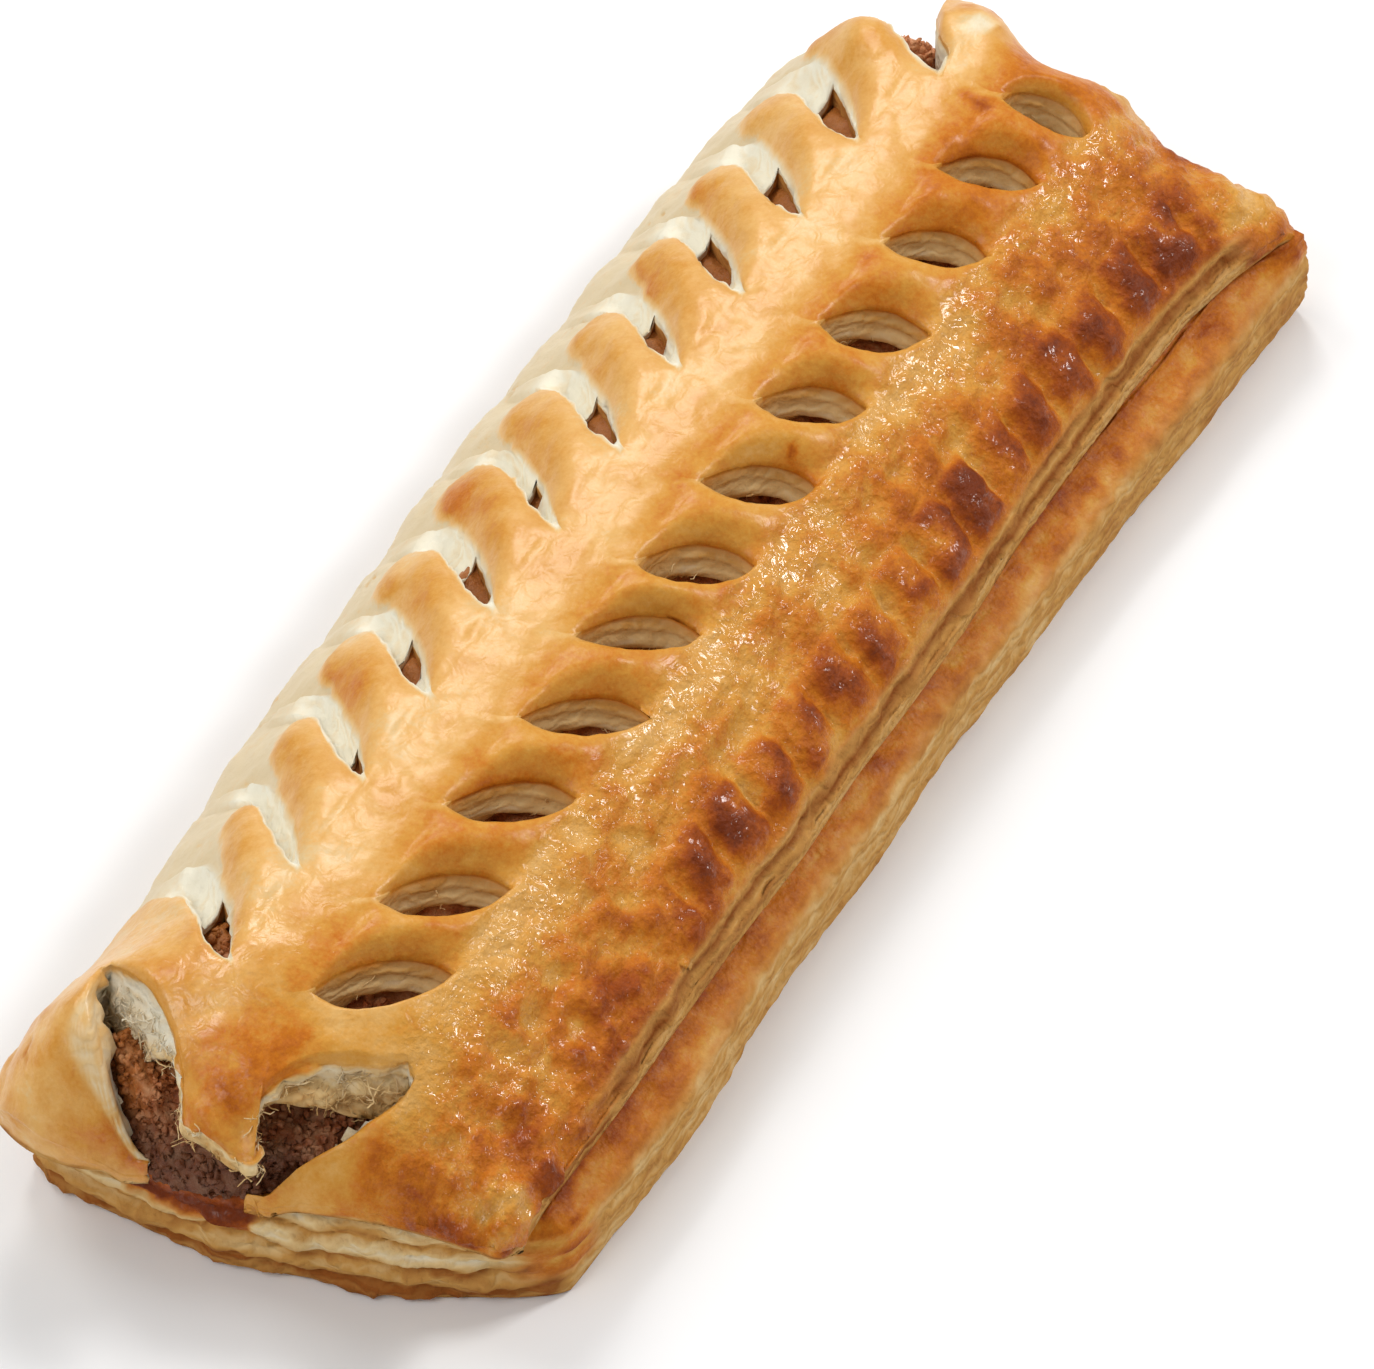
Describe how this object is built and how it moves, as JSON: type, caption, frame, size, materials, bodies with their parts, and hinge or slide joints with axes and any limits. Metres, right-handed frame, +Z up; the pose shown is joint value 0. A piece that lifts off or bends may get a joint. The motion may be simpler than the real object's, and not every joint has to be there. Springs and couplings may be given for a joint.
{
  "type": "sausage roll",
  "caption": "Baked puff-pastry sausage roll, its lid slashed into chevron strips over the meat, crimped along one side, flat below to stand on a plate",
  "frame": {"origin": "centre of the bounding box on the flat underside, where the roll rests", "axes": "+X runs along the roll from the end with the open tongue to the puffed far end, +Y across it from the crimped side to the smooth side, +Z up"},
  "size_m": [0.1734, 0.0632, 0.0293],
  "materials": {
    "base_pastry": "baked puff pastry, pale flaky cut layers under a browned rim",
    "sausage_meat": "cooked sausage meat, coarse and moist",
    "lid_pastry": "egg-washed puff pastry, golden brown and glossy, cream at the cut edges"
  },
  "bodies": {
    "root": {"pastry_base": "base_pastry", "filling": "sausage_meat", "pastry_lid": "lid_pastry"}
  },
  "joints": []
}
